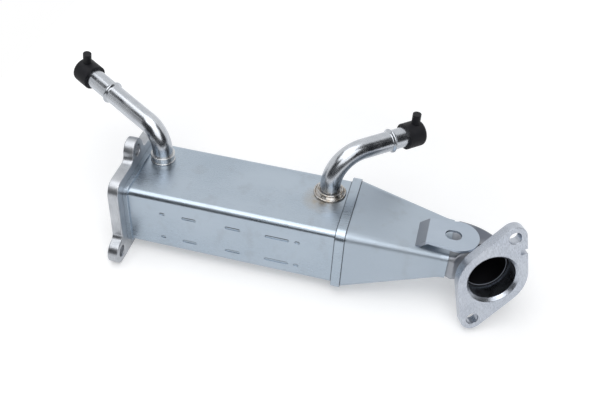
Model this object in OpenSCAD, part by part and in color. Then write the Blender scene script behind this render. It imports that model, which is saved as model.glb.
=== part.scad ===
// EGR cooler: a brazed stainless exhaust gas cooler. Gas enters at a three-bolt flange, runs through
// flat finned tubes, and leaves by a tapered diffuser and an elbow with a two-bolt flange.
// Coolant enters and leaves the shell by two bent pipes, which still wear their shipping caps.
// The origin is the centre of the inlet gasket face. Gas flows along +X, and +Z is up.

/* [Shell] */
// Depth of the shell, across the gas flow
shell_w = 63; // [58:1:70]
// Height of the shell
shell_h = 50; // [46:1:58]
// Length from the inlet flange to the outlet collar
shell_l = 158; // [145:1:220]
// Sheet thickness of the shell
shell_wall = 1.5; // [1.2:0.1:2]
// Outer radius of the shell's long edges
shell_r = 5; // [3:0.5:8]
// Width of each pressed spacing dash
dash_w = 2.6; // [1.6:0.2:4]
// Depth of a dash on the outside of the sheet
dash_depth = 0.5; // [0.3:0.1:1]
// Height above mid-shell of the upper row of dashes
dash_z_upper = 9.4; // [4:0.2:14]
// Height below mid-shell of the lower row of dashes
dash_z_lower = -13.3; // [-16:0.1:-4]

/* [Inlet flange] */
// Thickness of the inlet flange
flange_t = 8; // [6:0.5:12]
// How far the flange plate stands out round the shell
flange_margin = 9.3; // [8:0.1:12]
// Corner radius of the flange plate
flange_r = 10; // [6:0.5:14]
// Radius of the lugs round the bolt holes
lug_r = 9.2; // [8:0.1:11]
// Diameter of the bolt holes in both flanges
bolt_d = 9; // [8.4:0.1:11]
// Height of the upper bolt hole above the gas axis
top_bolt_z = 38.4; // [37:0.2:42]
// Distance from the gas axis to each lower bolt hole, sideways
low_bolt_y = 43.7; // [43:0.1:46]
// Radius of the fillets between lugs and plate
lug_fillet = 5; // [3:0.5:6]

/* [Tube plates] */
// Thickness of the plates that hold the tubes
plate_t = 2; // [1.5:0.1:3]
// Width of the inlet tube plate's rim along the shell
inlet_rim_w = 3.5; // [3.1:0.1:6]
// How far the inlet rim stands proud of the shell
inlet_rim_proud = 1.5; // [1:0.1:2.5]
// Width of the outlet collar along the shell
collar_w = 6.5; // [5:0.1:9]
// How far the outlet collar stands proud of the shell
collar_proud = 3.2; // [2.8:0.1:4]

/* [Core] */
// Thickness of a gas tube
tube_t = 6; // [5:0.2:7]
// Gap between the gas tubes and the shell, above and below
tube_gap = 1.5; // [0.8:0.1:3]
// Wall of a gas tube
tube_wall = 0.6; // [0.5:0.1:1]
// Sheet thickness of the fins
fin_t = 0.3; // [0.2:0.05:0.5]
// Distance between one fin web and the next
fin_pitch = 2.4; // [1.8:0.1:4]
// How far the fins stop short of the tube ends
fin_inset = 3; // [1:0.5:8]

/* [Gas outlet] */
// Length of the diffuser from the collar to its end
diffuser_l = 72.5; // [60:0.5:90]
// Depth of the diffuser at its narrow end
diffuser_end_w = 44; // [40:0.5:48]
// Height of the diffuser at its narrow end
diffuser_end_h = 22.7; // [20:0.1:30]
// Corner radius of the diffuser's narrow end
diffuser_end_r = 5; // [4:0.5:8]
// Sheet thickness of the diffuser
diffuser_wall = 1.5; // [1.2:0.1:2]
// Height of the outlet axis above the shell's own axis
outlet_z = 4.5; // [0:0.5:8]
// Angle through which the elbow turns the gas
elbow_turn = 66; // [45:1:80]
// Tilt of the elbow's plane above the horizontal
elbow_tilt = 12; // [0:1:25]
// Bend radius of the elbow's centre line
elbow_bend_r = 24; // [23:0.5:34]
// Wall of the elbow
elbow_wall = 2.2; // [1.5:0.1:2.5]
// Diameter of the outlet bore in its flange
outlet_bore_d = 34; // [32:0.5:36]
// Chamfer at the mouth of the outlet bore
bore_chamfer = 2.2; // [0.4:0.1:2.6]
// Length of the round hub behind the outlet flange
hub_l = 8.2; // [6:0.1:10]
// Wall of that hub
hub_wall = 0.8; // [0.5:0.1:1.2]
// Thickness of the outlet flange
outlet_t = 7.5; // [6:0.5:10]
// Radius of the round middle of the outlet flange
outlet_r = 25.4; // [24:0.1:28]
// Distance between the two outlet bolt holes
outlet_pitch = 69; // [66:0.5:74]
// Radius of the lugs of the outlet flange
outlet_lug_r = 8.6; // [7.5:0.1:10]
// Turn of the bolt line about the outlet axis
outlet_spin = 14.2; // [0:0.2:30]
// Width of the locating notch in the outlet flange's flank
notch_w = 3.8; // [2:0.2:6]
// Depth of the locating notch
notch_depth = 5; // [3:0.5:6]
// Distance of the notch from the outlet axis, along the bolt line
notch_u = 19.5; // [16:0.5:22]

/* [Coolant pipes] */
// Outside diameter of the coolant pipes
pipe_d = 15; // [13:0.5:16]
// Wall of the coolant pipes
pipe_wall = 1.2; // [1:0.1:1.5]
// Distance of both pipes behind the shell's middle
pipe_y = 11.5; // [6:0.5:14]
// Distance from the gasket face to the pipe at the flange end
flange_pipe_x = 22.5; // [22:0.5:40]
// Distance from the collar back to the pipe at the diffuser end
diffuser_pipe_back = 14; // [13:0.5:40]
// Straight rise from the shell to the bend, at the flange end
flange_rise = 9; // [7:0.5:14]
// Bend radius at the flange end
flange_bend_r = 18; // [16:0.5:28]
// Angle of the bend at the flange end
flange_turn = 80; // [60:1:90]
// Heading of the pipe at the flange end, counted from the gas flow
flange_heading = 153; // [130:1:180]
// Straight run after the bend at the flange end
flange_run = 73; // [62:0.5:90]
// Straight rise from the shell to the bend, at the diffuser end
diffuser_rise = 7.7; // [5:0.1:14]
// Bend radius at the diffuser end
diffuser_bend_r = 24.5; // [18:0.5:32]
// Angle of the bend at the diffuser end
diffuser_turn = 90; // [70:1:95]
// Heading of the pipe at the diffuser end, counted from the gas flow
diffuser_heading = 42; // [10:1:80]
// Straight run after the bend at the diffuser end
diffuser_run = 47.5; // [40:0.5:70]
// Width of each hose bead along the pipe
bead_w = 4; // [3:0.2:5]
// How far each hose bead stands out from the pipe
bead_proud = 1.5; // [0.8:0.1:2]
// Distance from the hose bead to the pipe's end at the flange end
flange_bead_back = 33; // [20:0.5:36]
// Distance from the hose bead to the pipe's end at the diffuser end
diffuser_bead_back = 24; // [18:0.5:26]
// Wall of the brazed ferrules at the feet of the pipes
ferrule_wall = 1.1; // [0.8:0.1:1.5]
// Height of the sleeve ferrule at the flange end
ferrule_h = 6; // [4:0.5:7]
// Height of the flared ferrule at the diffuser end
flare_h = 3; // [2:0.1:5]
// Radius of the flared ferrule where it meets the shell
flare_r = 11.4; // [10:0.1:12]

/* [Caps] */
// Wall of the rubber caps
cap_wall = 2.3; // [1.5:0.1:3]
// How far each cap is pushed over its pipe
cap_grip = 12; // [8:0.5:14]
// Thickness of the closed end of a cap
cap_end = 3; // [2:0.5:5]
// Rounding of a cap's closed end
cap_round = 3; // [1:0.2:3.4]
// Diameter of the pull tab on a cap
tab_d = 6.4; // [5:0.2:8]
// Height of the pull tab above the cap
tab_h = 8; // [5:0.5:12]

/* [Support bracket] */
// Thickness of the bracket's sheet
bracket_t = 1.8; // [1.5:0.1:2.2]
// Width of the bracket at its fold
bracket_w = 25; // [20:0.5:28]
// Length of the bracket's level plate
bracket_l = 36.4; // [30:0.2:36.6]
// Width of the slotted hole
slot_w = 9.6; // [8:0.2:11]
// Extra length of the slotted hole
slot_extra = 2.2; // [0:0.2:6]
// Gap left under the bracket's level plate for the round end of the elbow
bracket_gap = 0.9; // [0.8:0.1:4]
// Distance from the collar to the bracket's riser
bracket_x = 54.7; // [50:0.1:55]
// Sideways place of the bracket's middle
bracket_y = -7.2; // [-7.3:0.1:2]
// Turn of the bracket about the upright
bracket_turn = 0; // [0:0.5:8]
// Radius of the bracket's round free end
bracket_r = 15; // [13:0.2:15.4]
// Lean of the riser that carries the bracket's plate
riser_lean = 50; // [20:1:55]

/* [Hidden] */

$fn = 64;
// Length by which a cutting shape runs past the face that it cuts
over = 1;

// Stations along the gas axis
rim_x = flange_t + inlet_rim_w;
shell_x = flange_t + plate_t;
collar_x = flange_t + shell_l;
collar_end_x = collar_x + collar_w;
core_end_x = collar_x + (collar_w + plate_t) / 2;
shell_end_x = core_end_x - plate_t;
taper_end_gap = 4;
diffuser_end_x = collar_end_x + diffuser_l;
taper_end_x = diffuser_end_x - taper_end_gap;

// Inlet flange outline
flange_w = shell_w + 2 * flange_margin;
flange_h = shell_h + 2 * flange_margin;
low_bolt_z = lug_r - flange_h / 2;
window_margin = 1;
arc_steps = 12;

// Pressed dashes: start and length of each, measured from the inlet flange
dash_runs = [[27, 4], [44, 11], [77, 11.5], [107, 18], [129, 4]];
dash_inside = 1.2;
dash_clear = 0.2;

// Tube bank
tube_count = 6;
tube_h = shell_h - 2 * (shell_wall + tube_gap);
tube_reach = shell_w / 2 - shell_wall - dash_inside - dash_clear;
tube_pitch = 2 * (tube_reach - tube_t / 2) / (tube_count - 1);
tube_x = flange_t;
function tube_y(i) = (i - (tube_count - 1) / 2) * tube_pitch;
fin_depth = tube_t - 2 * tube_wall;
fin_webs = 2 * floor((tube_h - tube_t) / fin_pitch / 2);

// Diffuser
lip_wall = 1.2;
diffuser_w = shell_w + 2 * (collar_proud - lip_wall);
diffuser_h = shell_h + 2 * (collar_proud - lip_wall);
diffuser_r = shell_r + collar_proud - lip_wall;
corner_steps = 8;

// Elbow and outlet
bore_step = 1.5;
elbow_end_d = outlet_bore_d + 2 * (elbow_wall - bore_step);
elbow_steps = 12;
// Above 1, the elbow keeps its flat section longer before it opens out to a circle
elbow_ease = 2.6;
elbow_lead = 4.2;
elbow_x = diffuser_end_x + elbow_lead;
outlet_lean = asin((outlet_r - outlet_lug_r) / (outlet_pitch / 2));

// Coolant pipes
pipe_r = pipe_d / 2;
shell_top = shell_h / 2;
diffuser_pipe_x = collar_x - diffuser_pipe_back;
// Rise above the shell, bend radius, turn, heading and straight run of each pipe
flange_route = [flange_rise, flange_bend_r, flange_turn, flange_heading, flange_run];
diffuser_route = [diffuser_rise, diffuser_bend_r, diffuser_turn, diffuser_heading, diffuser_run];
// The pipe draws in a touch where it is bent, and its straight ends lap into the bend
bend_thin = 0.02;
bend_lap = 0.3;
// How deep a cap's pull tab is rooted in its wall
tab_sink = 2;

// Bracket: the riser is drawn down into the diffuser, which then cuts it off
plate_z = outlet_z + elbow_end_d / 2 + bracket_gap;
riser_sink = 1.4;
riser_h = plate_z - (outlet_z + diffuser_end_h / 2 - riser_sink);

// Flat shapes, drawn in the plane across the gas flow

module rounded_rect(w, h, r) {
    square([w - 2 * r, h], center = true);
    square([w, h - 2 * r], center = true);
    for (sx = [-1, 1], sy = [-1, 1])
        translate([sx * (w / 2 - r), sy * (h / 2 - r)])
            circle(r);
}

module upright_slot(w, h) {
    square([w, h - w], center = true);
    for (s = [-1, 1])
        translate([0, s * (h - w) / 2])
            circle(d = w);
}

function arc(centre, r, from, to) = [
    for (k = [0:arc_steps])
        let (a = from + (to - from) * k / arc_steps)
        centre + r * [cos(a), sin(a)]
];

// Right half of the inlet flange, from the foot of its lower lug to the top of its upper lug
function inlet_half() =
    let (side = flange_w / 2, top = flange_h / 2, reach = lug_r + lug_fillet)
    let (low = [low_bolt_y, low_bolt_z], high = [0, top_bolt_z])
    let (low_gap = side + lug_fillet - low[0], high_gap = top + lug_fillet - high[1])
    let (low_fillet = [side + lug_fillet, low[1] + sqrt(pow(reach, 2) - pow(low_gap, 2))])
    let (high_fillet = [sqrt(pow(reach, 2) - pow(high_gap, 2)), top + lug_fillet])
    let (low_a = atan2(low_fillet[1] - low[1], low_fillet[0] - low[0]))
    let (high_a = atan2(high_fillet[1] - high[1], high_fillet[0] - high[0]))
    concat(
        arc(low, lug_r, -90, low_a),
        arc(low_fillet, lug_fillet, low_a + 180, 180),
        arc([side - flange_r, top - flange_r], flange_r, 0, 90),
        arc(high_fillet, lug_fillet, 270, high_a + 180),
        arc(high, lug_r, high_a, 90)
    );

// The last point of the half lies on the mirror line, so the other half leaves it out
module inlet_outline() {
    half = inlet_half();
    polygon(concat(half, [for (k = [len(half) - 2:-1:0]) [-half[k][0], half[k][1]]]));
}

module outlet_outline() {
    circle(outlet_r);
    for (s = [-1, 1])
        translate([0, s * outlet_pitch / 2])
            circle(outlet_lug_r);
    // Straight flanks, tangent to the round middle and to both lugs
    side = [cos(outlet_lean), sin(outlet_lean)];
    for (a = [0, 1], b = [0, 1]) mirror([a, 0]) mirror([0, b])
        polygon([
            [0, 0], outlet_r * side, [0, outlet_pitch / 2] + outlet_lug_r * side, [0, outlet_pitch / 2]
        ]);
}

// Solids placed along the gas axis

module prism_x(x0, x1) {
    translate([x0, 0, 0])
        rotate([90, 0, 90])
            linear_extrude(x1 - x0)
                children();
}

// Points of a rounded rectangle, the same number for every size
function rounded_points(w, h, r) = [
    for (c = [0:3], j = [0:corner_steps - 1])
        let (a = 90 * (c + (j + 0.5) / corner_steps))
        let (sx = (c == 0 || c == 3) ? 1 : -1, sy = c < 2 ? 1 : -1)
        [sx * (w / 2 - r) + r * cos(a), sy * (h / 2 - r) + r * sin(a)]
];

// Side faces between one ring of points and the next, n points to a ring
function loft_sides(first, rings, n) = [
    for (k = [0:rings - 2], i = [0:n - 1])
        let (a = first + k * n + i, b = first + k * n + (i + 1) % n)
        each [[a, a + n, b], [b, a + n, b + n]]
];

// Face across the end of a loft
function loft_end(first, n) = [[for (i = [0:n - 1]) first + i]];

// Flat ring of faces that joins the outer and the inner skin of a lofted tube
function loft_rim(outer, inner, n) = [
    for (i = [0:n - 1])
        let (j = (i + 1) % n)
        each [[outer + i, outer + j, inner + i], [inner + i, outer + j, inner + j]]
];

function flipped(faces) = [for (f = faces) [for (i = [len(f) - 1:-1:0]) f[i]]];

// A solid through a list of rings of points, with flat ends
module loft(rings) {
    n = len(rings[0]);
    last = (len(rings) - 1) * n;
    polyhedron(
        [for (ring = rings) each ring],
        concat(loft_sides(0, len(rings), n), loft_end(0, n), flipped(loft_end(last, n)))
    );
}

// A tube through a list of outer rings and a list of inner rings, open at both ends
module loft_tube(outer, inner) {
    n = len(outer[0]);
    count = len(outer);
    half = count * n;
    last = half - n;
    polyhedron(
        [for (ring = concat(outer, inner)) each ring],
        concat(
            loft_sides(0, count, n), flipped(loft_sides(half, count, n)),
            loft_rim(0, half, n), flipped(loft_rim(last, half + last, n))
        )
    );
}

function ring_x(x, z, w, h, r) = [for (p = rounded_points(w, h, r)) [x, p[0], z + p[1]]];

// Rings of the diffuser, set in from its outer face by skin
function diffuser_rings(skin) =
    let (w0 = diffuser_w - 2 * skin, h0 = diffuser_h - 2 * skin, r0 = diffuser_r - skin)
    let (w1 = diffuser_end_w - 2 * skin, h1 = diffuser_end_h - 2 * skin, r1 = diffuser_end_r - skin)
    [
        ring_x(core_end_x, 0, w0, h0, r0), ring_x(collar_end_x, 0, w0, h0, r0),
        ring_x(taper_end_x, outlet_z, w1, h1, r1), ring_x(diffuser_end_x, outlet_z, w1, h1, r1)
    ];

// One ring of the elbow at share t of its bend, moved back by step against the flow. The section starts
// as the flat oblong of the diffuser's end, level and flush with it, and grows to a circle.
function elbow_ring(t, skin, step) =
    let (grow = pow(t, elbow_ease))
    let (w = diffuser_end_w + (elbow_end_d - diffuser_end_w) * grow - 2 * skin)
    let (h = diffuser_end_h + (elbow_end_d - diffuser_end_h) * grow - 2 * skin)
    let (r = diffuser_end_r + (elbow_end_d / 2 - diffuser_end_r) * grow - skin)
    let (f = elbow_turn * t, lift = elbow_tilt * (1 - t))
    [
        for (p = rounded_points(w, h, r))
            let (q = [p[0] * cos(lift) - p[1] * sin(lift), p[0] * sin(lift) + p[1] * cos(lift)])
            let (reach = elbow_bend_r + q[0])
            [reach * sin(f) - step, reach * cos(f) - elbow_bend_r, q[1]]
    ];

// Rings of the elbow, set in from its outer face by skin. It starts inside the diffuser's lip.
function elbow_rings(skin) = concat(
    [for (step = [elbow_lead + taper_end_gap, elbow_lead]) elbow_ring(0, skin + diffuser_wall, step)],
    [for (i = [0:elbow_steps]) elbow_ring(i / elbow_steps, skin, 0)]
);

// Puts the start of the elbow's bend in place, in the bend's own tilted plane
module at_bend() {
    translate([elbow_x, 0, outlet_z])
        rotate([-elbow_tilt, 0, 0])
            children();
}

// Puts the end of the elbow's bend in place, with the gas leaving along the children's +X
module at_outlet() {
    at_bend()
        translate([elbow_bend_r * sin(elbow_turn), elbow_bend_r * (cos(elbow_turn) - 1), 0])
            rotate([0, 0, -elbow_turn])
                rotate([-outlet_spin, 0, 0])
                    children();
}

// Gas side

module inlet_flange() {
    color([0.68, 0.69, 0.71])
        prism_x(0, flange_t)
            difference() {
                inlet_outline();
                rounded_rect(2 * (tube_reach + window_margin), tube_h + 2 * window_margin, shell_r);
                translate([0, top_bolt_z])
                    circle(d = bolt_d);
                for (s = [-1, 1])
                    translate([s * low_bolt_y, low_bolt_z])
                        circle(d = bolt_d);
            }
}

module tube_slots(x0, x1) {
    for (i = [0:tube_count - 1])
        translate([0, tube_y(i), 0])
            prism_x(x0, x1)
                upright_slot(tube_t, tube_h);
}

module inlet_tube_plate() {
    grow = 2 * inlet_rim_proud;
    color([0.66, 0.68, 0.71])
        difference() {
            prism_x(flange_t, rim_x)
                rounded_rect(shell_w + grow, shell_h + grow, shell_r + inlet_rim_proud);
            prism_x(shell_x, rim_x + over)
                rounded_rect(shell_w, shell_h, shell_r);
            tube_slots(flange_t - over, shell_x + over);
        }
}

module outlet_collar() {
    grow = 2 * collar_proud;
    color([0.70, 0.72, 0.75])
        difference() {
            prism_x(collar_x, collar_end_x)
                rounded_rect(shell_w + grow, shell_h + grow, shell_r + collar_proud);
            prism_x(collar_x - over, shell_end_x)
                rounded_rect(shell_w, shell_h, shell_r);
            prism_x(core_end_x, collar_end_x + over)
                rounded_rect(diffuser_w, diffuser_h, diffuser_r);
            tube_slots(shell_end_x - over, core_end_x + over);
        }
}

module dash_bars(w, depth, y) {
    for (run = dash_runs, z = [dash_z_upper, dash_z_lower])
        translate([flange_t + run[0] + run[1] / 2, y, z])
            rotate([90, 90, 0])
                linear_extrude(depth, center = true)
                    upright_slot(w, max(run[1], w + dash_clear));
}

module shell() {
    inner_r = shell_r - shell_wall;
    stem = dash_inside + shell_wall / 2;
    stem_y = shell_w / 2 - shell_wall - dash_inside + stem / 2;
    color([0.72, 0.75, 0.79])
        difference() {
            union() {
                prism_x(shell_x, shell_end_x)
                    difference() {
                        rounded_rect(shell_w, shell_h, shell_r);
                        rounded_rect(shell_w - 2 * shell_wall, shell_h - 2 * shell_wall, inner_r);
                    }
                for (s = [-1, 1])
                    dash_bars(dash_w + shell_wall, stem, s * stem_y);
            }
            for (s = [-1, 1])
                dash_bars(dash_w, 2 * dash_depth, s * shell_w / 2);
            for (x = [flange_pipe_x, diffuser_pipe_x])
                translate([x, pipe_y, shell_top - shell_wall - over])
                    cylinder(r = pipe_r, h = shell_wall + 2 * over);
        }
}

module diffuser() {
    color([0.71, 0.74, 0.78])
        loft_tube(diffuser_rings(0), diffuser_rings(diffuser_wall));
}

module outlet_elbow() {
    color([0.62, 0.62, 0.63])
        at_bend()
            loft_tube(elbow_rings(0), elbow_rings(elbow_wall));
}

module outlet_flange() {
    face_x = hub_l + outlet_t;
    bore_r = outlet_bore_d / 2;
    color([0.70, 0.71, 0.74])
        at_outlet()
            difference() {
                union() {
                    prism_x(hub_l, face_x)
                        outlet_outline();
                    prism_x(0, hub_l)
                        circle(bore_r + hub_wall);
                }
                prism_x(-over, face_x + over)
                    circle(bore_r);
                translate([face_x - bore_chamfer, 0, 0])
                    rotate([0, 90, 0])
                        cylinder(r1 = bore_r, r2 = bore_r + 2 * bore_chamfer, h = 2 * bore_chamfer);
                for (s = [-1, 1])
                    translate([0, 0, s * outlet_pitch / 2])
                        prism_x(hub_l - over, face_x + over)
                            circle(d = bolt_d);
                // Locating notch in one flank
                translate([0, 0, notch_u])
                    rotate([outlet_lean, 0, 0])
                        prism_x(hub_l - over, face_x + over)
                            translate([(outlet_r - notch_u * sin(outlet_lean)) - notch_depth, -notch_w / 2])
                                square([outlet_r, notch_w]);
            }
}

module support_bracket() {
    half = bracket_w / 2;
    round_x = bracket_l - bracket_r;
    slot_x = bracket_l / 2;
    color([0.72, 0.74, 0.77])
        difference() {
            translate([collar_end_x + bracket_x, bracket_y, plate_z])
                rotate([0, 0, bracket_turn]) {
                    linear_extrude(bracket_t)
                        difference() {
                            union() {
                                polygon([[0, -half], [round_x, -bracket_r], [round_x, bracket_r], [0, half]]);
                                translate([round_x, 0])
                                    circle(bracket_r);
                            }
                            translate([slot_x, 0])
                                rotate(90)
                                    upright_slot(slot_w, slot_w + slot_extra);
                        }
                    // Riser, which leans back and is cut to sit on the diffuser
                    rotate([90, 0, 0])
                        linear_extrude(bracket_w, center = true)
                            polygon([
                                [0, bracket_t], [bracket_t, 0],
                                [bracket_t - riser_h * tan(riser_lean), -riser_h],
                                [-riser_h * tan(riser_lean) - bracket_t, -riser_h]
                            ]);
                }
            loft(diffuser_rings(0));
        }
}

// Core

module gas_tube(i) {
    color([0.60, 0.62, 0.65])
        translate([0, tube_y(i), 0])
            prism_x(tube_x, core_end_x)
                difference() {
                    upright_slot(tube_t, tube_h);
                    upright_slot(tube_t - 2 * tube_wall, tube_h - 2 * tube_wall);
                }
}

// A square-wave strip whose crests lie on the two flat walls of its tube
module gas_fin(i) {
    base = -fin_webs * fin_pitch / 2;
    color([0.66, 0.67, 0.69])
        translate([0, tube_y(i), 0])
            prism_x(tube_x + fin_inset, core_end_x - fin_inset)
                for (k = [0:fin_webs]) {
                    side = k % 2 == 0 ? -1 : 1;
                    translate([-fin_depth / 2, base + k * fin_pitch - fin_t / 2])
                        square([fin_depth, fin_t]);
                    if (k < fin_webs)
                        translate([side * (fin_depth - fin_t) / 2 - fin_t / 2, base + k * fin_pitch])
                            square([fin_t, fin_pitch]);
                }
}

// Coolant side

// Puts the foot of a pipe in place, with its bend towards the children's +X
module at_pipe(x, heading) {
    translate([x, pipe_y, shell_top])
        rotate([0, 0, heading])
            children();
}

// Puts the end of a pipe's bend in place, with the pipe running on along the children's +Z
module at_bend_end(route) {
    rise = route[0];
    bend_r = route[1];
    turn = route[2];
    translate([bend_r * (1 - cos(turn)), 0, rise + bend_r * sin(turn)])
        rotate([0, turn, 0])
            children();
}

module bent_rod(route, r, run_past) {
    rise = route[0];
    bend_r = route[1];
    turn = route[2];
    run = route[4];
    translate([0, 0, -shell_wall - run_past])
        cylinder(r = r, h = rise + shell_wall + run_past + bend_lap);
    translate([bend_r, 0, rise])
        rotate([90, 0, 0])
            rotate([0, 0, 180 - turn])
                rotate_extrude(angle = turn)
                    translate([bend_r, 0])
                        circle(r - bend_thin);
    at_bend_end(route)
        translate([0, 0, -bend_lap])
            cylinder(r = r, h = run + run_past + bend_lap);
}

module coolant_pipe(x, route, bead_back) {
    color([0.74, 0.75, 0.77])
        at_pipe(x, route[3])
            difference() {
                union() {
                    bent_rod(route, pipe_r, 0);
                    at_bend_end(route)
                        translate([0, 0, route[4] - bead_back])
                            hose_bead();
                }
                bent_rod(route, pipe_r - pipe_wall, over);
            }
}

// A rolled bead, round in section, that keeps a hose on the pipe
module hose_bead() {
    round_r = (pow(bead_w / 2, 2) + pow(bead_proud, 2)) / (2 * bead_proud);
    rotate_extrude()
        intersection() {
            translate([pipe_r + bead_proud - round_r, 0])
                circle(round_r);
            translate([pipe_r - pipe_wall, -bead_w / 2])
                square([bead_proud + pipe_wall, bead_w]);
        }
}

module flange_end_pipe() {
    coolant_pipe(flange_pipe_x, flange_route, flange_bead_back);
}

module diffuser_end_pipe() {
    coolant_pipe(diffuser_pipe_x, diffuser_route, diffuser_bead_back);
}

// A plain sleeve with two rolled rings, brazed to the shell
module flange_end_ferrule() {
    out = pipe_r + ferrule_wall;
    ring = ferrule_wall / 2;
    color([0.70, 0.71, 0.73])
        at_pipe(flange_pipe_x, 0)
            difference() {
                union() {
                    cylinder(r = out, h = ferrule_h);
                    for (z = [ring, ferrule_h - ring])
                        translate([0, 0, z])
                            rotate_extrude()
                                translate([out, 0])
                                    circle(ring);
                }
                translate([0, 0, -over])
                    cylinder(r = pipe_r, h = ferrule_h + 2 * over);
            }
}

// A flared foot, brazed to the shell
module diffuser_end_ferrule() {
    color([0.62, 0.60, 0.57])
        at_pipe(diffuser_pipe_x, 0)
            difference() {
                cylinder(r1 = flare_r, r2 = pipe_r + ferrule_wall, h = flare_h);
                translate([0, 0, -over])
                    cylinder(r = pipe_r, h = flare_h + 2 * over);
            }
}

// A rubber cup with a rounded end and a pull tab that points up, pushed over a pipe's end
module pipe_cap(x, route) {
    cap_r = pipe_r + cap_wall;
    cap_l = cap_grip + cap_end;
    color([0.07, 0.07, 0.08])
        at_pipe(x, route[3])
            at_bend_end(route)
                translate([0, 0, route[4] - cap_grip])
                    difference() {
                        union() {
                            rotate_extrude() {
                                square([cap_r, cap_l - cap_round]);
                                square([cap_r - cap_round, cap_l]);
                                translate([cap_r - cap_round, cap_l - cap_round])
                                    circle(cap_round);
                            }
                            translate([tab_sink - cap_r, 0, cap_l - cap_round - tab_d / 2])
                                rotate([0, -90, 0])
                                    cylinder(d = tab_d, h = tab_h + tab_sink);
                        }
                        translate([0, 0, -over])
                            cylinder(r = pipe_r, h = cap_grip + over);
                    }
}

module flange_end_cap() {
    pipe_cap(flange_pipe_x, flange_route);
}

module diffuser_end_cap() {
    pipe_cap(diffuser_pipe_x, diffuser_route);
}

inlet_flange();
inlet_tube_plate();
shell();
outlet_collar();
diffuser();
outlet_elbow();
outlet_flange();
support_bracket();
flange_end_pipe();
diffuser_end_pipe();
flange_end_ferrule();
diffuser_end_ferrule();
flange_end_cap();
diffuser_end_cap();
gas_tube(0);  // gas_tube_1
gas_tube(1);  // gas_tube_2
gas_tube(2);  // gas_tube_3
gas_tube(3);  // gas_tube_4
gas_tube(4);  // gas_tube_5
gas_tube(5);  // gas_tube_6
gas_fin(0);  // gas_fin_1
gas_fin(1);  // gas_fin_2
gas_fin(2);  // gas_fin_3
gas_fin(3);  // gas_fin_4
gas_fin(4);  // gas_fin_5
gas_fin(5);  // gas_fin_6
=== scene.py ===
"""Looks of the EGR cooler: finishes, rounded edges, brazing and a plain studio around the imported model."""
import math

import bmesh
import bpy
from mathutils import Matrix, Vector

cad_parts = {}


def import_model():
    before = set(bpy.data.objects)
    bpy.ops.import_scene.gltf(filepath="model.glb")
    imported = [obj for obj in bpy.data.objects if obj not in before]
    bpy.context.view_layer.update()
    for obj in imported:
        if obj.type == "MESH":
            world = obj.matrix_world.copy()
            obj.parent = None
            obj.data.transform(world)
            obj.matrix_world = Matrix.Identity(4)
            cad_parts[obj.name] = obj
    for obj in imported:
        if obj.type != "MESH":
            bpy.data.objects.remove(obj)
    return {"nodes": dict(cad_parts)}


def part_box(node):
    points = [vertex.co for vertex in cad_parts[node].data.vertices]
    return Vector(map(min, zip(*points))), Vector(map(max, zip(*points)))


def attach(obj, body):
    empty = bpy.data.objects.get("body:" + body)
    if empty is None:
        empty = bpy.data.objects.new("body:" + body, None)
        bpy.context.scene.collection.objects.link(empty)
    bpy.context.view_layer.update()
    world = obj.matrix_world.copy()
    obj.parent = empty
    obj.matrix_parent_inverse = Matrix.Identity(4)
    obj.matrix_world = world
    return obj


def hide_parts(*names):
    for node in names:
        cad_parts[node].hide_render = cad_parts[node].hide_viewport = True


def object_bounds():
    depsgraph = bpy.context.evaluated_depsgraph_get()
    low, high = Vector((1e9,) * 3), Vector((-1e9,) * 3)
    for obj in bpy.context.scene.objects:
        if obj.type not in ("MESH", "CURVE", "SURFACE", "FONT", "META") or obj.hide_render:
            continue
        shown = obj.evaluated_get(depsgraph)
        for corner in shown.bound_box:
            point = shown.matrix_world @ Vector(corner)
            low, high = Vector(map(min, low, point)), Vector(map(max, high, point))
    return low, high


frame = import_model()
cad_low, cad_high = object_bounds()
scene = bpy.context.scene
MM = 0.001

# Sizes of the pieces that are modelled again here, in millimetres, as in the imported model
SHELL_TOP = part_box("shell")[1].z / MM
SHELL_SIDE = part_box("shell")[1].y / MM
COLLAR_START, COLLAR_END = (v.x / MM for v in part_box("outlet_collar"))
DIFFUSER_START, DIFFUSER_END = (v.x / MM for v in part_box("diffuser"))
# Width, height and corner radius of the diffuser's two ends
DIFFUSER_WIDE = (67.0, 54.0, 7.0)
DIFFUSER_NARROW = (44.0, 22.7, 5.0)
DIFFUSER_WALL = 1.5
# Straight end of the diffuser around the elbow, and half the stretch over which the taper eases into it
LIP = 4.0
TAPER_END = DIFFUSER_END - LIP
TAPER_EASE = 3
OUTLET_Z = 4.5

ELBOW_END_D = 35.4
ELBOW_WALL = 2.2
ELBOW_LEAD = 4.2
ELBOW_TURN = 66.0
ELBOW_TILT = 12.0
ELBOW_BEND_R = 24.0
ELBOW_EASE = 2.6
ELBOW_START = Vector((DIFFUSER_END + ELBOW_LEAD, 0, OUTLET_Z))
ELBOW_LEAN = Matrix.Rotation(math.radians(-ELBOW_TILT), 3, "X")
# Length of the elbow's outer skin along its centre line
ELBOW_SKIN = LIP + ELBOW_LEAD + math.radians(ELBOW_TURN) * ELBOW_BEND_R

PIPE_R = 7.5
PIPE_WALL = 1.2
PIPE_Y = 11.5
PIPE_SINK = 1.5
BEAD_W = 4.0
BEAD_PROUD = 1.5
# Foot along the gas axis, rise, bend radius, turn, heading, run, and bead's distance from the end
FLANGE_PIPE = (22.5, 9.0, 18.0, 80.0, 153.0, 73.0, 33.0)
DIFFUSER_PIPE = (152.0, 7.7, 24.5, 90.0, 42.0, 47.5, 24.0)
# Radius, height and thickness of the rings of braze around the foot of the pipe at the diffuser end
BRAZE_RINGS = ((8.9, 3.1, 0.75), (11.3, 0.5, 0.85))

# Start of the level plate of the bracket, past its riser
BRACKET_L = 36.4
BRACKET_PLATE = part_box("support_bracket")[1].x / MM - BRACKET_L

# Places of the marks on the metal, in millimetres

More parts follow.
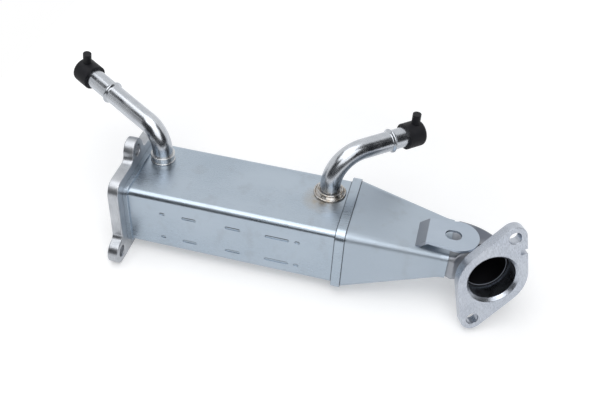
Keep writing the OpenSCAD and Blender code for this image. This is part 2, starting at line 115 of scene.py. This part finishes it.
# Middle of each patch, and the distances from it at which the patch is full and gone
# Brown heat tint at the foot of the pipe, partly a painted reflection of the ferrule in the shell's top
SHELL_BROWN_AND_REFLECTION = ((149.0, 2.0, 25.0), 5, 17)
# Brown heat tint on the front of the elbow near the outlet
ELBOW_BROWN = ((262.0, -16.0, 14.0), 4, 26)
# Painted shade, dark blue-grey, on the top back of the elbow's bend
ELBOW_BACK_SHADE = ((267.0, 11.0, 16.0), 7, 20)
# Middles of the dark seams on both sides of the collar, partly painted shade of the gap between collar and
# shell, and half their widths
SEAMS_AND_GAP_SHADE = ((COLLAR_START - 0.4, 0.7), (COLLAR_END + 0.3, 0.4))
# Heights of the painted shade in the upper halves of the two rows of dashes, half its width, and how dark it
# is
DASH_SHADE = ((10.0, 0.9, 0.9), (-12.7, 0.9, 0.5))
# Depths below the shell's side at which the painted shade starts and is full, and where the dashes end
DASH_DEPTHS = (0.1, 0.3)
DASHES_END = COLLAR_START - 4
# Painted shade in the mouth of the elbow: how it fades in along the outlet's axis, and out at its radius
MOUTH_START = (-9.0, -7.0)
MOUTH_R = (16.9, 17.2)
# Rim in the mouth that the painted shade leaves out, so that it shows bright: how it fades in along the
# axis, and its radius and half its width
RIM_START = (-0.5, -0.2)
RIM = (15.7, 0.5)
# Stretch of the gas axis that parts the inlet end from the outlet end
PARTING = (60, 100)

# Mesh fineness
WELD = 1e-6
FLAT_ANGLE = math.radians(0.6)
CORNER_ANGLE = math.radians(32)
SHARP_ANGLE = math.radians(40)
BEVEL_STEPS = 3
ROUND_STEPS = 64


def outlet_line():
    """End of the elbow's centre line, in millimetres, and the way that the gas leaves it."""
    turn = math.radians(ELBOW_TURN)
    end = ELBOW_START + ELBOW_LEAN @ Vector((math.sin(turn), math.cos(turn) - 1, 0)) * ELBOW_BEND_R
    return end, ELBOW_LEAN @ Vector((math.cos(turn), -math.sin(turn), 0))


# Materials

def colours(sockets):
    """The colour sockets among those of a Mix node."""
    return [s for s in sockets if s.type == "RGBA"]


class Surface:
    """A Principled material whose sockets are fed by procedural nodes."""

    def __init__(self, name, metallic=1.0):
        self.material = bpy.data.materials.new(name)
        self.material.use_nodes = True
        self.nodes = self.material.node_tree.nodes
        self.links = self.material.node_tree.links
        self.shader = self.nodes["Principled BSDF"]
        self.shader.inputs["Metallic"].default_value = metallic
        places = self.nodes.new("ShaderNodeTexCoord").outputs
        self.place = places["Object"]
        self.along = places["UV"]

    def feed(self, socket, value):
        """Links an output to a socket of the shader."""
        self.links.new(value, self.shader.inputs[socket])

    def noise(self, size, stretch=(1, 1, 1), detail=3.0, place=None):
        """Noise whose grains are about size millimetres, times stretch along each axis."""
        mapping = self.nodes.new("ShaderNodeMapping")
        mapping.inputs["Scale"].default_value = [1 / (size * MM * s) for s in stretch]
        self.links.new(place or self.place, mapping.inputs["Vector"])
        texture = self.nodes.new("ShaderNodeTexNoise")
        texture.inputs["Scale"].default_value = 1.0
        texture.inputs["Detail"].default_value = detail
        self.links.new(mapping.outputs["Vector"], texture.inputs["Vector"])
        return texture.outputs["Fac"]

    def span(self, value, low, high, start=0.3, end=0.7):
        """Maps value from start..end to low..high, and holds it there."""
        node = self.nodes.new("ShaderNodeMapRange")
        node.inputs["From Min"].default_value = start
        node.inputs["From Max"].default_value = end
        node.inputs["To Min"].default_value = low
        node.inputs["To Max"].default_value = high
        self.links.new(value, node.inputs["Value"])
        return node.outputs["Result"]

    def math(self, operation, first, second):
        """Maths on two values, each a number or an output."""
        node = self.nodes.new("ShaderNodeMath")
        node.operation = operation
        for socket, value in zip(node.inputs, (first, second)):
            if isinstance(value, (int, float)):
                socket.default_value = value
            else:
                self.links.new(value, socket)
        return node.outputs["Value"]

    def mix(self, factor, first, second):
        """Colour between first and second, each a colour or an output."""
        node = self.nodes.new("ShaderNodeMix")
        node.data_type = "RGBA"
        self.links.new(factor, node.inputs["Factor"])
        for socket, value in zip(colours(node.inputs), (first, second)):
            if isinstance(value, tuple):
                socket.default_value = (*value, 1)
            else:
                self.links.new(value, socket)
        return colours(node.outputs)[0]

    def vector(self, operation, first, second=(0, 0, 0)):
        """Outputs of vector maths on an output and a constant vector."""
        node = self.nodes.new("ShaderNodeVectorMath")
        node.operation = operation
        self.links.new(first, node.inputs[0])
        node.inputs[1].default_value = second
        return node.outputs

    def patch(self, strength, middle, full, gone):
        """Strength within full millimetres of a point, fading to zero at gone millimetres."""
        away = self.vector("DISTANCE", self.place, [c * MM for c in middle])["Value"]
        return self.span(self.math("DIVIDE", away, MM), strength, 0.0, full, gone)

    def axis(self, name, place=None):
        """One coordinate of the surface, in millimetres."""
        node = self.nodes.new("ShaderNodeSeparateXYZ")
        self.links.new(place or self.place, node.inputs["Vector"])
        return self.math("DIVIDE", node.outputs[name], MM)

    def reach(self):
        """Distance along the skin of a tube, out on its outside and back on its inside, in millimetres."""
        return self.axis("X", self.along)

    def cylinder(self, point, direction):
        """Distances along and from a line through point, in millimetres."""
        offset = self.vector("SUBTRACT", self.place, point * MM)["Vector"]
        along = self.vector("DOT_PRODUCT", offset, direction)["Value"]
        across = self.vector("CROSS_PRODUCT", offset, direction)["Vector"]
        away = self.vector("LENGTH", across)["Value"]
        return self.math("DIVIDE", along, MM), self.math("DIVIDE", away, MM)

    def near(self, value, middle, half):
        """One where value is at middle, falling to zero at half from it."""
        gap = self.math("ABSOLUTE", self.math("SUBTRACT", value, middle), 0)
        return self.span(gap, 1, 0, half / 2, half)

    def bump(self, height, depth, below=None):
        """Relief of depth millimetres, on top of the relief below."""
        node = self.nodes.new("ShaderNodeBump")
        node.inputs["Strength"].default_value = 1.0
        node.inputs["Distance"].default_value = depth * MM
        self.links.new(height, node.inputs["Height"])
        if below:
            self.links.new(below, node.inputs["Normal"])
        return node.outputs["Normal"]


def sheet_steel():
    """Satin stainless sheet, rolled along the gas axis, with smudges, dark seams with painted shade at the
    collar, painted shade in the dashes, and one brown heat tint that is partly a painted reflection of the
    ferrule.
    """
    s = Surface("sheet_steel")
    x = s.axis("X")
    cloud = s.noise(32, (1.6, 1, 1))
    grain = s.noise(0.35, (26, 1, 1), 2)
    clean = s.mix(s.span(cloud, 0, 1), (0.375, 0.44, 0.51), (0.43, 0.495, 0.565))
    smudge = s.span(s.noise(11, (1, 1, 1.5)), 0, 0.45, 0.56, 0.74)
    marked = s.mix(smudge, clean, (0.33, 0.365, 0.405))
    past_collar = s.span(x, 0, 1, COLLAR_END, COLLAR_END + 2)
    marked = s.mix(s.math("MULTIPLY", past_collar, 0.15), marked, (0.58, 0.63, 0.69))
    # Brown heat tint in front of the pipe's foot, partly a painted reflection of the ferrule
    tint = s.math("MULTIPLY", s.patch(1.0, *SHELL_BROWN_AND_REFLECTION), s.span(s.noise(5), 0.25, 0.8))
    tinted_and_painted = s.mix(tint, marked, (0.36, 0.30, 0.22))
    # Dark seams at the collar's edges, partly painted shade of the gap between collar and shell
    seam_and_gap_shade = s.math("MAXIMUM", *(s.near(x, middle, half) for middle, half in SEAMS_AND_GAP_SHADE))
    # Painted shade in the upper half of each pressed dash, fainter in the lower row
    depth = s.math("SUBTRACT", SHELL_SIDE, s.math("ABSOLUTE", s.axis("Y"), 0))
    before_collar = s.span(x, 1, 0, DASHES_END, DASHES_END + 1)
    sunk = s.math("MULTIPLY", s.span(depth, 0, 1, *DASH_DEPTHS), before_collar)
    z = s.axis("Z")
    rows = [s.math("MULTIPLY", s.near(z, row, half), shade) for row, half, shade in DASH_SHADE]
    dash = s.math("MULTIPLY", sunk, s.math("MAXIMUM", *rows))
    dark = s.math("MAXIMUM", s.math("MULTIPLY", seam_and_gap_shade, 0.85), dash)
    s.feed("Base Color", s.mix(dark, tinted_and_painted, (0.06, 0.065, 0.075)))
    polish = s.math("ADD", s.span(cloud, 0.26, 0.33), s.math("MULTIPLY", past_collar, 0.17))
    s.feed("Roughness", s.math("ADD", polish, s.span(grain, -0.04, 0.04)))
    wavy = s.bump(s.noise(26, detail=1), 0.05)
    s.feed("Normal", s.bump(grain, 0.005, wavy))
    return s.material


def bracket_steel():
    """Satin sheet as on the diffuser, with painted shade on the pressed riser."""
    s = Surface("bracket_steel")
    cloud = s.noise(20)
    grain = s.noise(0.35, (26, 1, 1), 2)
    plate = s.mix(s.span(cloud, 0, 1), (0.41, 0.47, 0.545), (0.45, 0.51, 0.585))
    # Painted shade on the pressed riser, up to where the level plate starts
    riser = s.span(s.axis("X"), 1, 0, BRACKET_PLATE - 0.2, BRACKET_PLATE + 0.4)
    s.feed("Base Color", s.mix(riser, plate, (0.27, 0.295, 0.335)))
    s.feed("Roughness", s.math("ADD", s.span(cloud, 0.43, 0.50), s.span(grain, -0.04, 0.04)))
    s.feed("Normal", s.bump(grain, 0.005))
    return s.material


def flange_steel():
    """Ground plate, brushed upright, with a mottled surface."""
    s = Surface("flange_steel")
    cloud = s.noise(12)
    grain = s.noise(0.4, (1, 1, 24), 3)
    ground = s.mix(s.span(cloud, 0, 1), (0.45, 0.485, 0.55), (0.56, 0.595, 0.655))
    rolled = s.mix(s.span(cloud, 0, 1), (0.42, 0.44, 0.47), (0.56, 0.58, 0.61))
    outlet_end = s.span(s.axis("X"), 0, 1, *PARTING)
    base = s.mix(outlet_end, rolled, ground)
    s.feed("Base Color", s.mix(s.span(grain, 0, 0.4, 0.45, 0.7), base, (0.22, 0.235, 0.26)))
    polish = s.math("ADD", s.span(cloud, 0.32, 0.42), s.math("MULTIPLY", outlet_end, -0.06))
    s.feed("Roughness", s.math("ADD", polish, s.span(grain, -0.08, 0.08)))
    s.feed("Normal", s.bump(grain, 0.012, s.bump(s.noise(3), 0.012)))
    return s.material


def elbow_steel():
    """Satin formed tube with a brown heat tint, a patch of painted shade on the back of its bend, and
    painted shade inside, left off an inner rim that shows bright.
    """
    s = Surface("elbow_steel")
    cloud = s.noise(12)
    clean = s.mix(s.span(cloud, 0, 1), (0.34, 0.365, 0.405), (0.42, 0.445, 0.49))
    browned = s.mix(s.patch(0.4, *ELBOW_BROWN), clean, (0.31, 0.285, 0.265))
    # Painted shade on the top back of the bend
    tinted_and_painted = s.mix(s.patch(0.85, *ELBOW_BACK_SHADE), browned, (0.115, 0.13, 0.165))
    # Painted shade in the elbow's mouth and on its whole inner skin, left off a thin rim at the mouth, which
    # therefore shows bright
    ahead, off = s.cylinder(*outlet_line())
    mouth = s.math("MULTIPLY", s.span(ahead, 0, 1, *MOUTH_START), s.span(off, 1, 0, *MOUTH_R))
    inside = s.math("MAXIMUM", mouth, s.span(s.reach(), 0, 1, ELBOW_SKIN + 1, ELBOW_SKIN + 3))
    rim = s.math("MULTIPLY", s.span(ahead, 0, 1, *RIM_START), s.near(off, *RIM))
    dark = s.math("SUBTRACT", inside, rim)
    s.feed("Base Color", s.mix(dark, tinted_and_painted, (0.02, 0.02, 0.023)))
    s.feed("Roughness", s.math("ADD", s.span(cloud, 0.46, 0.56), s.math("MULTIPLY", inside, 0.35)))
    s.feed("Normal", s.bump(s.noise(1.2), 0.012, s.bump(s.noise(9, detail=1), 0.06)))
    return s.material


def pipe_steel():
    """Bright drawn tube with streaks along it and a faint haze."""
    s = Surface("pipe_steel")
    haze = s.noise(9)
    streak = s.noise(0.5, (45, 1, 1), 3, s.along)
    base = s.mix(s.span(haze, 0, 1), (0.46, 0.485, 0.525), (0.55, 0.575, 0.61))
    s.feed("Base Color", s.mix(s.span(streak, 0, 0.35, 0.45, 0.7), base, (0.34, 0.355, 0.385)))
    s.feed("Roughness", s.math("ADD", s.span(haze, 0.21, 0.29), s.span(streak, -0.05, 0.05)))
    s.feed("Normal", s.bump(streak, 0.004, s.bump(s.noise(5, detail=1), 0.015)))
    return s.material


def ferrule_steel():
    """Brazed metal: bright ridges over a warm heat tint."""
    s = Surface("ferrule_steel")
    cloud = s.noise(3.5)
    burnt = s.math("MULTIPLY", s.span(cloud, 0.1, 1), s.span(s.axis("X"), 0.1, 1, *PARTING))
    s.feed("Base Color", s.mix(burnt, (0.58, 0.59, 0.60), (0.33, 0.285, 0.235)))
    s.feed("Roughness", s.span(s.noise(2), 0.18, 0.38))
    s.feed("Normal", s.bump(s.noise(1.4), 0.05))
    return s.material


def cap_rubber():
    """Matte black moulded rubber with a dusty bloom."""
    s = Surface("cap_rubber", metallic=0.0)
    dust = s.noise(7)
    s.feed("Base Color", s.mix(s.span(dust, 0, 1), (0.005, 0.0052, 0.0075), (0.011, 0.0115, 0.015)))
    s.feed("Roughness", s.span(dust, 0.5, 0.66))
    s.shader.inputs["Specular IOR Level"].default_value = 0.28
    s.feed("Normal", s.bump(s.noise(0.5), 0.02, s.bump(s.noise(4), 0.05)))
    return s.material


def core_steel():
    """Plain strip inside the cooler, dulled by the brazing furnace."""
    s = Surface("core_steel")
    cloud = s.noise(6)
    s.feed("Base Color", s.mix(s.span(cloud, 0, 1), (0.34, 0.35, 0.37), (0.46, 0.47, 0.49)))
    s.feed("Roughness", s.span(cloud, 0.34, 0.5))
    s.feed("Normal", s.bump(s.noise(1), 0.01))
    return s.material


SHEET = sheet_steel()
BRACKET = bracket_steel()
FLANGE = flange_steel()
ELBOW = elbow_steel()
PIPE = pipe_steel()
FERRULE = ferrule_steel()
RUBBER = cap_rubber()
CORE = core_steel()


# Building pieces

def add_piece(name, mesh, slot, material, *nodes):
    """A shown piece of the object that stands for the given CAD nodes."""
    mesh.materials.clear()
    mesh.materials.append(material)
    for polygon in mesh.polygons:
        polygon.use_smooth = True
    mesh.set_sharp_from_angle(angle=SHARP_ANGLE)
    piece = bpy.data.objects.new(name, mesh)
    scene.collection.objects.link(piece)
    even = piece.modifiers.new("even_normals", "WEIGHTED_NORMAL")
    even.keep_sharp = True
    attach(piece, "root")
    if nodes:
        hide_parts(*nodes)
    return piece


def dressed(node, slot, material, edge):
    """A copy of a CAD node whose sharp edges are rounded by edge millimetres."""
    mesh = frame["nodes"][node].data.copy()
    work = bmesh.new()
    work.from_mesh(mesh)
    bmesh.ops.remove_doubles(work, verts=work.verts, dist=WELD)
    bmesh.ops.dissolve_limit(work, angle_limit=FLAT_ANGLE, verts=work.verts, edges=work.edges)
    corners = [e for e in work.edges if e.is_manifold and e.calc_face_angle() > CORNER_ANGLE]
    bmesh.ops.bevel(
        work, geom=corners, offset=edge * MM, segments=BEVEL_STEPS, profile=0.5,
        affect="EDGES", clamp_overlap=True,
    )
    work.to_mesh(mesh)
    work.free()
    if "custom_normal" in mesh.attributes:
        mesh.attributes.remove(mesh.attributes["custom_normal"])
    return add_piece(node + "_dressed", mesh, slot, material, node)


def tube_mesh(name, outer, inner):
    """Closed skin out through the outer rings and back through the inner ones, all in millimetres.

    Its UV map holds the distance along the tube and around it, in metres.
    """
    rings = outer + inner[::-1]
    count, n = len(rings), len(rings[0])
    points = [p * MM for ring in rings for p in ring]
    faces = [
        (k * n + i, k * n + (i + 1) % n, (k + 1) % count * n + (i + 1) % n, (k + 1) % count * n + i)
        for k in range(count) for i in range(n)
    ]
    mesh = bpy.data.meshes.new(name)
    mesh.from_pydata(points, [], faces)
    middles = [sum(ring, Vector()) / n for ring in rings]
    reach = [0.0]
    for a, b in zip(middles, middles[1:] + middles[:1]):
        reach.append(reach[-1] + (b - a).length)
    girth = sum((a - b).length for a, b in zip(rings[0], rings[0][1:]))
    along = mesh.uv_layers.new(name="along")
    for face in mesh.polygons:
        k, i = divmod(face.index, n)
        for loop, (u, v) in zip(face.loop_indices, ((k, i), (k, i + 1), (k + 1, i + 1), (k + 1, i))):
            along.data[loop].uv = (reach[u] * MM, girth * v / n * MM)
    work = bmesh.new()
    work.from_mesh(mesh)
    bmesh.ops.recalc_face_normals(work, faces=work.faces)
    work.to_mesh(mesh)
    work.free()
    return mesh


def rounded_points(w, h, r):
    """Points of a rounded rectangle, the same number for every size."""
    steps = ROUND_STEPS // 4
    points = []
    for corner, (sx, sy) in enumerate(((1, 1), (-1, 1), (-1, -1), (1, -1))):
        for j in range(steps):
            a = math.radians(90 * (corner + j / (steps - 1)))
            points.append((sx * (w / 2 - r) + r * math.cos(a), sy * (h / 2 - r) + r * math.sin(a)))
    return points


def braze_ring(name, foot, radius, height, thickness):
    """Uneven ring of braze around the foot of a pipe, in millimetres."""
    section = 12
    rings = []
    for i in range(ROUND_STEPS):
        a = 2 * math.pi * i / ROUND_STEPS
        swell = 1 + 0.12 * math.sin(3 * a + 1) + 0.08 * math.sin(7 * a + radius)
        middle = foot + Vector((radius * math.cos(a), radius * math.sin(a), height))
        ring = []
        for j in range(section):
            f = 2 * math.pi * j / section
            out = Vector((math.cos(a) * math.cos(f), math.sin(a) * math.cos(f), math.sin(f)))
            ring.append(middle + out * thickness * swell)
        rings.append(ring)
    half = ROUND_STEPS // 2
    return add_piece(name, tube_mesh(name, rings[:half], rings[half:][::-1]), "ferrule_steel", FERRULE)


# Diffuser

def soft_clamp(value, blend):
    """Zero below -blend, value above blend, and a parabola in between."""
    if value <= -blend:
        return 0.0
    if value >= blend:
        return value
    return (value + blend) ** 2 / (4 * blend)


def diffuser_ring(x, skin):
    """Section of the diffuser at x, set in from its outer face by skin."""
    share = 1 - soft_clamp(TAPER_END - max(x, COLLAR_END), TAPER_EASE) / (TAPER_END - COLLAR_END)
    w, h, r = (a + (b - a) * share for a, b in zip(DIFFUSER_WIDE, DIFFUSER_NARROW))
    z = OUTLET_Z * share
    return [Vector((x, p, z + q)) for p, q in rounded_points(w - 2 * skin, h - 2 * skin, r - skin)]


def diffuser():
    """Tapered sheet from the collar to the elbow, with its taper eased into the straight end."""
    bend = [TAPER_END + d for d in range(-TAPER_EASE, TAPER_EASE + 1)]
    stations = [DIFFUSER_START, COLLAR_END] + bend + [DIFFUSER_END]
    mesh = tube_mesh(
        "diffuser", [diffuser_ring(x, 0) for x in stations],
        [diffuser_ring(x, DIFFUSER_WALL) for x in stations],
    )
    return add_piece("diffuser_sheet", mesh, "sheet_steel", SHEET, "diffuser")


# Elbow

def elbow_ring(t, skin, step=0.0):
    """Section of the elbow at share t of its bend, moved back by step against the flow."""
    grow = t ** ELBOW_EASE
    w0, h0, r0 = DIFFUSER_NARROW
    w = w0 + (ELBOW_END_D - w0) * grow - 2 * skin
    h = h0 + (ELBOW_END_D - h0) * grow - 2 * skin
    r = r0 + (ELBOW_END_D / 2 - r0) * grow - skin
    angle = math.radians(ELBOW_TURN * t)
    lift = math.radians(ELBOW_TILT * (1 - t))
    ring = []
    for p, q in rounded_points(w, h, r):
        across = p * math.cos(lift) - q * math.sin(lift)
        up = p * math.sin(lift) + q * math.cos(lift)
        reach = ELBOW_BEND_R + across
        local = Vector((reach * math.sin(angle) - step, reach * math.cos(angle) - ELBOW_BEND_R, up))
        ring.append(ELBOW_START + ELBOW_LEAN @ local)
    return ring


def elbow():
    """Swept tube from the flat end of the diffuser to the round outlet."""
    steps = 36
    skins = []
    for skin in (0.0, ELBOW_WALL):
        lip = [elbow_ring(0, skin + DIFFUSER_WALL, step) for step in (ELBOW_LEAD + LIP, ELBOW_LEAD)]
        skins.append(lip + [elbow_ring(i / steps, skin) for i in range(steps + 1)])
    mesh = tube_mesh("outlet_elbow", *skins)
    return add_piece("outlet_elbow_casting", mesh, "elbow_steel", ELBOW, "outlet_elbow")


# Coolant pipes

def pipe_stations(rise, bend_r, turn, run, bead_back):
    """Centre, bend angle and extra radius along a pipe, in the plane of its bend."""
    stations = [(Vector((0, 0, -PIPE_SINK)), 0.0, 0.0)]
    bend_steps = 28
    for i in range(bend_steps + 1):
        a = math.radians(turn * i / bend_steps)
        stations.append((Vector((bend_r * (1 - math.cos(a)), 0, rise + bend_r * math.sin(a))), a, 0.0))
    last = stations[-1][0]
    a = math.radians(turn)
    ahead = Vector((math.sin(a), 0, math.cos(a)))
    bead_steps = 12
    for i in range(bead_steps + 1):
        s = (i / bead_steps - 0.5) * BEAD_W
        proud = BEAD_PROUD * math.cos(math.pi * s / BEAD_W) ** 2
        stations.append((last + ahead * (run - bead_back + s), a, proud))
    stations.append((last + ahead * run, a, 0.0))
    return stations


def coolant_pipe(node, x, rise, bend_r, turn, heading, run, bead_back):
    """Bent pipe on top of the shell, with a rolled bead for the hose."""
    turned = Matrix.Rotation(math.radians(heading), 3, "Z")
    foot = Vector((x, PIPE_Y, SHELL_TOP))
    skins = []
    for r in (PIPE_R, PIPE_R - PIPE_WALL):
        rings = []
        for centre, a, proud in pipe_stations(rise, bend_r, turn, run, bead_back):
            side = Vector((math.cos(a), 0, -math.sin(a)))
            ring = []
            for i in range(ROUND_STEPS):
                f = 2 * math.pi * i / ROUND_STEPS
                out = side * math.cos(f) + Vector((0, math.sin(f), 0))
                ring.append(foot + turned @ (centre + out * (r + proud)))
            rings.append(ring)
        skins.append(rings)
    return add_piece(node + "_tube", tube_mesh(node, *skins), "pipe_steel", PIPE, node)


# Pieces, with the rounding of each node's edges in millimetres
for slot, material, edges in (
    ("sheet_steel", SHEET, {"inlet_tube_plate": 0.5, "shell": 0.3, "outlet_collar": 0.45}),
    ("sheet_steel", BRACKET, {"support_bracket": 0.3}),
    ("flange_steel", FLANGE, {"inlet_flange": 0.7, "outlet_flange": 0.3}),
    ("cap_rubber", RUBBER, {"flange_end_cap": 0.5, "diffuser_end_cap": 0.5}),
    ("ferrule_steel", FERRULE, {"flange_end_ferrule": 0.2, "diffuser_end_ferrule": 0.2}),
):
    for node, edge in edges.items():
        dressed(node, slot, material, edge)
for name, node in frame["nodes"].items():
    if name.startswith("gas_"):
        node.data.materials.clear()
        node.data.materials.append(CORE)
diffuser()
elbow()
coolant_pipe("flange_end_pipe", *FLANGE_PIPE)
coolant_pipe("diffuser_end_pipe", *DIFFUSER_PIPE)
diffuser_pipe_foot = Vector((DIFFUSER_PIPE[0], PIPE_Y, SHELL_TOP))
for number, ring in enumerate(BRAZE_RINGS, 1):
    braze_ring("diffuser_end_braze_%d" % number, diffuser_pipe_foot, *ring)


# Studio

MIDDLE = (cad_low + cad_high) / 2
# Glow of the floor near the object and far from it, and the distances of both in metres
NEAR_GLOW, FAR_GLOW = 0.30, 0.70
NEAR, FAR = 0.20, 0.60


def shown_rays(nodes, links):
    """One for the rays that see the white background: the camera's, mirrored and transmitted ones."""
    path = nodes.new("ShaderNodeLightPath").outputs
    value = path["Is Camera Ray"]
    for name in ("Is Glossy Ray", "Is Transmission Ray"):
        either = nodes.new("ShaderNodeMath")
        either.operation = "MAXIMUM"
        links.new(value, either.inputs[0])
        links.new(path[name], either.inputs[1])
        value = either.outputs["Value"]
    return value


def matte_sheet(name, corners, faces, colour):
    """Flat faces of one matte colour, as an object with its own material."""
    mesh = bpy.data.meshes.new(name)
    mesh.from_pydata(corners, [], faces)
    sheet = bpy.data.objects.new(name, mesh)
    scene.collection.objects.link(sheet)
    material = bpy.data.materials.new(name)
    material.use_nodes = True
    shader = material.node_tree.nodes["Principled BSDF"]
    shader.inputs["Base Color"].default_value = (*colour, 1)
    shader.inputs["Roughness"].default_value = 0.9
    shader.inputs["Specular IOR Level"].default_value = 0.0
    mesh.materials.append(material)
    return sheet


def floor():
    """Pale floor that the camera and mirrors see as white, and that keeps the shadow."""
    left, right, front, back, z = -0.2, 4.0, -0.32, 6.0, cad_low.z
    corners = ((left, front, z), (right, front, z), (right, back, z), (left, back, z))
    plane = matte_sheet("floor", corners, [(0, 1, 2, 3)], (0.8, 0.8, 0.8))
    tree = plane.data.materials[0].node_tree
    nodes, links = tree.nodes, tree.links
    away = nodes.new("ShaderNodeVectorMath")
    away.operation = "DISTANCE"
    links.new(nodes.new("ShaderNodeTexCoord").outputs["Object"], away.inputs[0])
    away.inputs[1].default_value = MIDDLE
    rise = nodes.new("ShaderNodeMapRange")
    rise.inputs["From Min"].default_value = NEAR
    rise.inputs["From Max"].default_value = FAR
    rise.inputs["To Min"].default_value = NEAR_GLOW
    rise.inputs["To Max"].default_value = FAR_GLOW
    links.new(away.outputs["Value"], rise.inputs["Value"])
    glow = nodes.new("ShaderNodeMath")
    glow.operation = "MULTIPLY"
    links.new(shown_rays(nodes, links), glow.inputs[0])
    links.new(rise.outputs["Result"], glow.inputs[1])
    shader = nodes["Principled BSDF"]
    shader.inputs["Emission Color"].default_value = (1, 1, 1, 1)
    links.new(glow.outputs["Value"], shader.inputs["Emission Strength"])


def backdrop():
    """Dark curtains in front, at the right and overhead, which only show as dark bands in the metal."""
    left, right, front, back, bottom, top = -2.0, 2.0, -1.2, 0.4, -1.2, 1.5
    corners = (
        (left, front, bottom), (right, front, bottom), (right, front, top), (left, front, top),
        (right, back, top), (left, back, top), (right, back, bottom),
    )
    faces = [(0, 1, 2, 3), (3, 2, 4, 5), (1, 6, 4, 2)]
    curtain = matte_sheet("backdrop", corners, faces, (0.06, 0.062, 0.068))
    curtain.visible_camera = False


def world():
    """White to the camera and in mirrors; a softer light for everything else."""
    sky = bpy.data.worlds.new("studio")
    scene.world = sky
    sky.use_nodes = True
    nodes, links = sky.node_tree.nodes, sky.node_tree.links
    shader = nodes["Background"]
    seen = nodes.new("ShaderNodeMix")
    seen.data_type = "RGBA"
    soft, white = colours(seen.inputs)
    soft.default_value = (0.5, 0.52, 0.55, 1)
    white.default_value = (1, 1, 1, 1)
    links.new(shown_rays(nodes, links), seen.inputs["Factor"])
    links.new(colours(seen.outputs)[0], shader.inputs["Color"])
    shader.inputs["Strength"].default_value = 1.0


def softbox(name, place, size, power):
    """Area light at place from the middle of the object and aimed at it, its first size along X."""
    back = Vector(place).normalized()
    side = (Vector((1, 0, 0)) - back * back.x).normalized()
    turn = Matrix((side, back.cross(side), back)).transposed()
    light = bpy.data.lights.new(name, "AREA")
    light.shape = "RECTANGLE"
    light.size, light.size_y = size
    light.energy = power
    lamp = bpy.data.objects.new(name, light)
    scene.collection.objects.link(lamp)
    lamp.matrix_world = Matrix.Translation(MIDDLE + Vector(place)) @ turn.to_4x4()


def camera():
    """Camera fitted to the photograph's view, for a 600 by 400 image."""
    eye = Vector((225.0, -444.3, 424.1)) * MM
    azimuth, elevation, roll = (math.radians(a) for a in (-11.76, 41.558, 3.665))
    focal_px, width_px, sensor = 830.66, 600, 36.0
    level = Vector((math.sin(azimuth), math.cos(azimuth), 0))
    ahead = level * math.cos(elevation) - Vector((0, 0, math.sin(elevation)))
    level_right = Vector((math.cos(azimuth), -math.sin(azimuth), 0))
    level_down = ahead.cross(level_right)
    right = level_right * math.cos(roll) - level_down * math.sin(roll)
    down = level_right * math.sin(roll) + level_down * math.cos(roll)
    data = bpy.data.cameras.new("camera")
    data.sensor_width = sensor
    data.lens = focal_px / width_px * sensor
    data.clip_start, data.clip_end = 0.01, 50
    cam = bpy.data.objects.new("camera", data)
    scene.collection.objects.link(cam)
    turn = Matrix((right, -down, -ahead)).transposed()
    cam.matrix_world = Matrix.Translation(eye) @ turn.to_4x4()
    scene.camera = cam


floor()
backdrop()
world()
softbox("overhead", place=(-0.15, -0.19, 0.88), size=(0.90, 0.92), power=6.0)
softbox("front", place=(0.30, -0.76, 0.78), size=(1.0, 1.0), power=6.0)
camera()
scene.view_settings.view_transform = "Standard"
